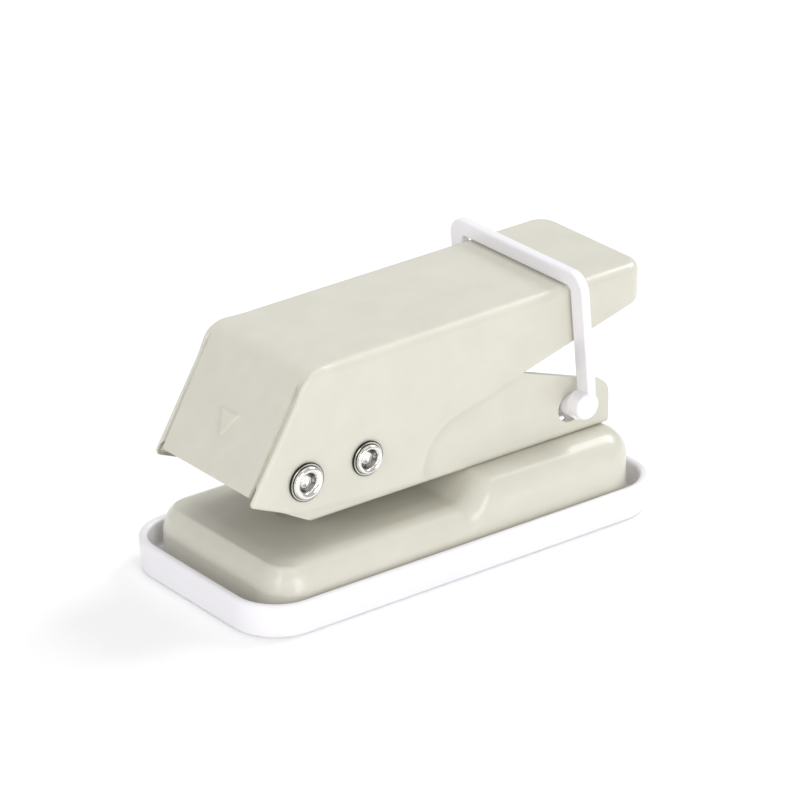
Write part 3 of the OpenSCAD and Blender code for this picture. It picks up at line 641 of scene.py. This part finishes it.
    # a quarter round from the cheek to its edge, as far as the chin, then a flange that dips behind the flap
    gone = np.concatenate([[0], np.cumsum(np.linalg.norm(np.diff(edge, axis=0), axis=1))])
    roll = np.interp(gone, [0, d["rollFull"], noseAt, gone[-1]], [d["slitEdge"], d["roll"], d["roll"], d["rollEnd"]])
    fade = ease(gone, footAt - d["flangeFade"][0], footAt - d["flangeFade"][1])
    wide = d["flangeEnd"] + (d["flange"] - d["flangeEnd"]) * (1 - fade)
    dip = d["groove"] * ease(gone, *d["grooveFrom"]) - np.interp(gone, slitGone, setBack)
    q = np.linspace(0, np.pi / 2, g["round"])[:, None]
    run = wide * np.linspace(0, 1, g["flange"])[1:, None] ** d["flangeCrowd"]
    depth = np.concatenate([roll * (1 - np.sin(q)), np.clip(dip, d["leastDip"], None) * ease(run, 0, d["grooveRun"])])
    inset = np.concatenate([roll * (1 - np.cos(q)), roll + run])
    xz = edge[None] + inward[None] * depth[..., None]
    fold = np.stack([xz[..., 0], inset - half, xz[..., 1]], -1)
    # lower edge of the cheek from the chin to the rear corner, then the flat cheek inside its border
    step = chin + (heel - chin) * d["chinStep"]
    lower = roundedPath([(*xz[0, -1], 0), (*step, d["chinRound"]), (*heel, d["heelRound"]),
                         (heel[0], leverUnder(heel[0]), d["waist"]), (cornerStart, leverUnder(cornerStart), 0)],
                        g["lowerArc"], False)
    lower = np.stack([lower[:, 0], 0 * lower[:, 0] - half, lower[:, 1]], -1)
    cheek = np.concatenate([strip[0, :m], wall[1:, 0], lower[::-1][1:], fold[0, ::-1][1:-1]])
    # top between the two long edges, and the flap below it with the arrow pressed out of its face
    topLine = strip[-1, : m + len(a)]
    u = (0.5 + across / 2)[None, :, None]
    cover = topLine[:, None] * (1 - u) + (topLine * flip)[:, None] * u
    flapS = np.concatenate([np.linspace(-flapLong, 0, g["flap"])[:-1], np.linspace(0, d["slitRun"], g["slit"])])
    flapAt, flapOut = spine(flapS)
    flapY = np.linspace(-d["flapHalf"], d["flapHalf"], g["across"])
    arrowS = (d["arrowAt"] - bendStart[1]) / np.sin(slope)
    lift = arrowRelief(flapY[None], (flapS - arrowS)[:, None])
    flat = flapAt[:, None] + flapOut[:, None] * lift[..., None]
    flap = np.stack([flat[..., 0], np.broadcast_to(flapY, lift.shape), flat[..., 1]], -1)
    patches = [(grid, gridQuads(*grid.shape[:2])) for grid in (strip, wall, cover, flap, fold, fold * flip)]
    patches += [(side, [list(range(len(side)))]) for side in (cheek, cheek * flip)]
    obj = makePiece("leverCover", patches)
    faceOut(obj, (10, 0, leverTop(10)), (0, 0, 1))
    holes = [prism(circle(*at, d["bore"]), "Y", -d["cutSide"], d["cutSide"]) for at in (d["pivot"], d["drive"])]
    sheetMetal(obj, d["sheet"], holes, d["lip"])
    dress(obj, "lever", ["lever_cover"], creamEnamel)


makeLever()


# lock bail

bail = dict(pin=(33.0, 25.4), lean=5.7, inside=17.3, outside=21.3, barLow=27.38, barHigh=30.78,
            outRound=4.0, inRound=1.0, thick=2.1, back=1.15, soft=0.5, foot=1.5,
            boss=2.9, bossAt=(-0.3, 1.5), bossSoft=0.7, pinRound=2.3, pinFrom=13.2, pinSoft=0.4, pinSink=1,
            sink=0.14, sinkFrom=(3.5, 6), arc=17, legSteps=15, barSteps=21, softSteps=6, turns=48)


def makeBail():
    # a rounded rectangle carried along the loop: its width runs from the inner line to the outer line
    d = bail

    def loopLine(reach, bar, radius):
        # up one leg, across and down the other, with as many points on the outer line as on the inner one
        path = roundedPath([(-reach, d["foot"], 0), (-reach, bar, radius),
                            (reach, bar, radius), (reach, d["foot"], 0)], d["arc"], False)
        turn = np.arange(1, d["arc"])
        along = np.concatenate([np.linspace(0, 1, d["legSteps"])[:-1], turn,
                                d["arc"] + np.linspace(0, 1, d["barSteps"])[:-1], d["arc"] + turn,
                                2 * d["arc"] + np.linspace(0, 1, d["legSteps"])])
        return np.stack([np.interp(along, np.arange(len(path)), path[:, k]) for k in (0, 1)], -1)

    inner = loopLine(d["inside"], d["barLow"], d["inRound"])
    outer = loopLine(d["outside"], d["barHigh"], d["outRound"])
    low, high = d["sinkFrom"]
    outer[:, 0] -= np.sign(outer[:, 0]) * d["sink"] * ease(-outer[:, 1], -high, -low)  # the foot dips into its boss
    wide = np.linalg.norm(outer - inner, axis=1)[:, None]
    # section, from the outer edge: inset and depth of four rounded corners
    n = d["softSteps"]
    q = np.linspace(0, np.pi / 2, n)
    side = d["soft"] * (1 - np.cos(q))
    deep = d["thick"] / 2 - d["soft"] * (1 - np.sin(q))
    inset = np.concatenate([side, -side[::-1], -side, side[::-1]])
    depth = np.concatenate([deep, deep[::-1], -deep, -deep[::-1]])
    fromInner = np.concatenate([np.zeros(n), np.ones(2 * n), np.zeros(n)])[None]
    share = fromInner + inset[None] / wide
    loop = outer[:, None] + (inner - outer)[:, None] * share[..., None]
    lean = rad(d["lean"])
    x = d["back"] + np.broadcast_to(depth, loop.shape[:2])
    y, z = loop[..., 0], loop[..., 1]
    points = np.stack([d["pin"][0] + x * np.cos(lean) - z * np.sin(lean), y,
                       d["pin"][1] + x * np.sin(lean) + z * np.cos(lean)], -1)
    rows, cols = points.shape[:2]
    caps = [list(range(cols)), list(range((rows - 1) * cols, rows * cols))]
    obj = makePiece("lockBail", [(points, gridQuads(rows, cols, True).tolist() + caps)])
    # boss and pin at the foot of each leg, turned round lines across the machine
    e = d["bossSoft"]
    boss = np.concatenate([[(axisGap, d["inside"])],
                           np.stack([d["boss"] - e * (1 - np.sin(q)), d["inside"] + e * (1 - np.cos(q))], -1),
                           np.stack([d["boss"] - e * (1 - np.cos(q)), d["outside"] - e * (1 - np.sin(q))], -1),
                           [(axisGap, d["outside"])]])
    tip, root = d["pinFrom"], d["inside"] + d["pinSink"]
    pin = np.array([(axisGap, tip), (d["pinRound"] - d["pinSoft"], tip), (d["pinRound"], tip + d["pinSoft"]),
                    (d["pinRound"], root), (axisGap, root)])
    pinAt = (d["pin"][0], 0, d["pin"][1])
    bossAt = (d["pin"][0] + d["bossAt"][0], 0, d["pin"][1] + d["bossAt"][1])
    knobs = [makePiece("knob", [lathe(shape, at, "Y", d["turns"], way)])
             for way in (-1, 1) for shape, at in ((boss, bossAt), (pin, pinAt))]
    combine(obj, knobs, "UNION")
    weld(obj.data)
    soften(obj, even=True)
    dress(obj, "bail", ["lock_bail"], whitePlastic)


makeBail()


# rivets, washers, spring

rivets = dict(shank=2.2, cup=1.85, washer=(16.6, 17.1), pivot=(-35.5, 28.4), pivotRim=3.5, pivotWasher=4.1,
              drive=(-20.5, 29.2), driveRim=3.1, driveWasher=3.7, turns=96,
              # half profile of an end: distance from its line, and height over the washer
              shape=((0, -1.4), (0.7, -1.37), (1.2, -1.22), (1.55, -0.88), (1.74, -0.42), (1.9, 0.05),
                     (2.15, 0.5), (2.55, 0.82), (2.95, 0.9), (3.3, 0.7), (3.49, 0.3), (3.5, 0.0)),
              # painted shade: dark lines round the rim's foot and in the bowl
              footWide=0.16, footIn=0.4, bowlShade=0.62, bowlIn=0.2, bowlWide=0.3, bowlUp=0.4)
# the last two are the spans of painted shade at a washer's edge and round the rivet's rim
washers = dict(soft=0.16, play=0.05, softSteps=6, flatSteps=16, edgeShade=(0.36, 0.14), rimShade=(0.3, 0.05))


def turnedPlace(obj, at):
    # each point's distance from the rivet's line, and its distance from the middle of the machine
    p = np.zeros(len(obj.data.vertices) * 3)
    obj.data.vertices.foreach_get("co", p)
    p = p.reshape(-1, 3) / mm
    return np.hypot(p[:, 0] - at[0], p[:, 2] - at[1]), np.abs(p[:, 1])


def paintShade(obj, share):
    # how much painted shade each point gets: the finish reads it as the "corner" attribute
    corner = obj.data.attributes.new("corner", "FLOAT", "POINT")
    corner.data.foreach_set("value", share.astype(np.float32))


def makeRivet(name, body, cad, at, rim):
    # half profile from the floor of the cup over the rolled rim to the washer, then the shank; the other end
    # mirrors it, and what lies outside the cup is widened to the rim's size
    d = rivets
    curve = smoothCurve(d["shape"])
    beyond = curve[:, 0] - d["cup"]
    widen = (rim - d["cup"]) / (d["shape"][-1][0] - d["cup"])
    curve[:, 0] = np.where(beyond > 0, d["cup"] + beyond * widen, np.maximum(curve[:, 0], axisGap))
    curve[:, 1] += d["washer"][1]
    end = np.concatenate([curve, [(d["shank"], d["washer"][1])]])
    loop = np.concatenate([end, (end * (1, -1))[::-1]])
    obj = makePiece(name, [lathe(loop, (at[0], 0, at[1]), "Y", d["turns"])])
    soften(obj, angle=50)
    out, up = turnedPlace(obj, at)
    # painted shade round the rim's foot and in the bowl of the cup
    foot = np.exp(-((up - d["washer"][1]) / d["footWide"]) ** 2) * (out > rim - d["footIn"])
    bowl = np.exp(-((out - d["cup"] + d["bowlIn"]) / d["bowlWide"]) ** 2) * (up < d["washer"][1] + d["bowlUp"])
    paintShade(obj, np.clip(foot + d["bowlShade"] * bowl, 0, 1))
    dress(obj, body, [cad], brightNickel)


def makeWashers(name, body, cad, at, r, rim):
    # a thin ring at each side with soft outer edges; painted shade darkens it at its edge and round the rivet's rim
    d = washers
    low, high = rivets["washer"]
    soft, hole = d["soft"], rivets["shank"] + d["play"]
    q = np.linspace(0, np.pi / 2, d["softSteps"])
    side = np.concatenate([np.stack([r - soft * (1 - np.sin(q)), low + soft * (1 - np.cos(q))], -1),
                           np.stack([r - soft * (1 - np.cos(q)), high - soft * (1 - np.sin(q))], -1)])
    across = np.linspace(r - soft, hole, d["flatSteps"])[1:]
    loop = np.concatenate([[(hole, low)], side, np.stack([across, 0 * across + high], -1)])
    obj = makePiece(name, [lathe(loop, (at[0], 0, at[1]), "Y", rivets["turns"], way) for way in (-1, 1)])
    soften(obj, angle=40)
    out = turnedPlace(obj, at)[0]
    # painted shade at the washer's edge and round the rivet's rim
    edge, inner = ease(r - out, *d["edgeShade"]), ease(out - rim, *d["rimShade"])
    paintShade(obj, np.clip(edge + inner, 0, 1))
    dress(obj, body, [cad], brightNickel)


makeRivet("pivotRivet", "machine", "pivot_rivet", rivets["pivot"], rivets["pivotRim"])
makeRivet("driveRivet", "lever", "drive_rivet", rivets["drive"], rivets["driveRim"])
makeWashers("pivotWashers", "machine", "pivot_washers", rivets["pivot"], rivets["pivotWasher"], rivets["pivotRim"])
makeWashers("driveWashers", "lever", "drive_washers", rivets["drive"], rivets["driveWasher"], rivets["driveRim"])

footRivets = dict(xs=(14.0, 34.2), y=8.0, shank=1.6, head=2.9, low=17.0, web=19.4, dome=1.0, steps=8, turns=40)


def makeFootRivets():
    # a low dome above the web and another under the deck: a quarter of an ellipse, turned
    d = footRivets
    q = np.linspace(0, np.pi / 2, d["steps"])
    up = np.stack([d["head"] * np.cos(q) + axisGap, d["web"] + d["dome"] * np.sin(q)], -1)
    down = np.stack([d["head"] * np.cos(q) + axisGap, d["low"] - d["dome"] * np.sin(q)], -1)[::-1]
    loop = np.concatenate([down, [(d["shank"], d["low"]), (d["shank"], d["web"])], up])
    spots = [(x, way * d["y"], 0) for x in d["xs"] for way in (-1, 1)]
    obj = makePiece("footRivets", [lathe(loop, spot, "Z", d["turns"]) for spot in spots])
    soften(obj, angle=40)
    dress(obj, "machine", ["frame_rivets"], plainSteel)


makeFootRivets()

spring = dict(at=-20.5, mean=4.4, wire=0.3, low=19.9, high=24.9, turns=4.0, closed=0.75, closedShare=1.5,
              stroke=2.356, turnSteps=48, wireSteps=14)


def makeSpring():
    # a round wire carried along a coil; its first and last part lie flat, as ground ends do
    d = spring
    t = np.linspace(0, d["turns"], int(d["turns"] * d["turnSteps"]) + 1)
    flat = d["wire"] / d["closedShare"]  # what a closed end rises, where the open coil rises 1
    share = np.interp(t, [0, d["closed"], d["turns"] - d["closed"], d["turns"]], [0, flat, 1, 1 + flat])
    a = 2 * np.pi * t
    rise = (d["high"] - d["low"] - 2 * d["wire"]) * (share - share[0]) / (share[-1] - share[0])
    b = np.linspace(0, 2 * np.pi, d["wireSteps"], endpoint=False)[None]
    r = d["mean"] + d["wire"] * np.cos(b)
    p = np.stack([d["at"] + r * np.cos(a)[:, None], r * np.sin(a)[:, None],
                  d["low"] + d["wire"] + rise[:, None] + d["wire"] * np.sin(b)], -1)
    n = p.shape[1]
    ends = [list(range(n)), list(range((len(p) - 1) * n, len(p) * n))]
    obj = makePiece("returnSpring", [(p, gridQuads(len(p), n, True).tolist() + ends)])
    soften(obj)
    dress(obj, "machine", ["return_spring"], brightNickel)
    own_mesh(obj)


makeSpring()

# the rest keep their CAD shape and get a steel finish
innerParts = ("die_bush", "die_rivets", "punch_guide", "pivot_spacer", "drive_spacers",
              "punch_cutter", "punch_head", "spring_washer")
for name in innerParts:
    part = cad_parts[name]
    part.data.materials.clear()
    part.data.materials.append(dullSteel if name == "die_rivets" else plainSteel)
print("inner parts finished")


# floor, light, camera

view = dict(place=(-0.50845, -0.65065, 0.40450), right=(0.7875, -0.6163, 0.0), up=(0.25452, 0.32522, 0.91074),
            back=(-0.56130, -0.71722, 0.41298), lens=202.19, sensor=36.0, far=20.0)
# each box: name, turn round the machine, height angle, width, height, power
lights = dict(world=0.55, away=1.1, aim=(0, 0, 0.03),
              boxes=(("leftBox", 202, 24, 0.25, 0.70, 2.1), ("sideBox", 257, 18, 0.40, 0.80, 4.1),
                     ("rearBox", 0, 42, 0.50, 0.50, 4.8), ("topBox", 90, 76, 0.60, 0.60, 2.6)))
paper = dict(half=3, rows=13)
paperLook = dict(light=(0.97, 0.97, 0.97), dark=(0.955, 0.955, 0.955), gloss=(0.8, 0.9), bump=(0.05, 0.1),
                 coarse=6.0, fine=400.0,
                 shader={"Specular IOR Level": 0.1, "Emission Color": (1, 1, 1, 1), "Emission Strength": 0.04})


def makeStudio():
    # a sheet of white paper, a white world, area lamps turned to the machine, and the camera fitted to the photo
    scene = bpy.context.scene
    floorMesh = bpy.data.meshes.new("floor")
    g = np.linspace(-paper["half"], paper["half"], paper["rows"])
    x, y = np.meshgrid(g, g)
    sheet = np.stack([x, y, 0 * x], -1).reshape(-1, 3)
    floorMesh.from_pydata(sheet.tolist(), [], gridQuads(paper["rows"], paper["rows"]).tolist())
    floor = bpy.data.objects.new("floor", floorMesh)
    scene.collection.objects.link(floor)
    floorMesh.materials.append(finish("floorPaper", **paperLook))
    world = bpy.data.worlds.new("studio")
    world.use_nodes = True
    world.node_tree.nodes["Background"].inputs["Color"].default_value = (1, 1, 1, 1)
    world.node_tree.nodes["Background"].inputs["Strength"].default_value = lights["world"]
    scene.world = world
    for name, turned, raised, width, height, power in lights["boxes"]:
        level = np.cos(rad(raised)) * lights["away"]
        place = (np.cos(rad(turned)) * level, np.sin(rad(turned)) * level, np.sin(rad(raised)) * lights["away"])
        lamp = bpy.data.lights.new(name, "AREA")
        lamp.shape, lamp.size, lamp.size_y, lamp.energy = "RECTANGLE", width, height, power
        box = bpy.data.objects.new(name, lamp)
        box.location = place
        box.rotation_euler = (Vector(lights["aim"]) - Vector(place)).to_track_quat("-Z", "Y").to_euler()
        scene.collection.objects.link(box)
    camera = bpy.data.cameras.new("camera")
    camera.lens, camera.sensor_width, camera.clip_end = view["lens"], view["sensor"], view["far"]
    eye = bpy.data.objects.new("camera", camera)
    turn = np.eye(4)
    turn[:3, :3] = np.stack([view["right"], view["up"], view["back"]], 1)
    turn[:3, 3] = view["place"]
    eye.matrix_world = Matrix(turn.tolist())
    scene.collection.objects.link(eye)
    scene.camera = eye
    scene.view_settings.view_transform = "Standard"


makeStudio()
print("studio ready")
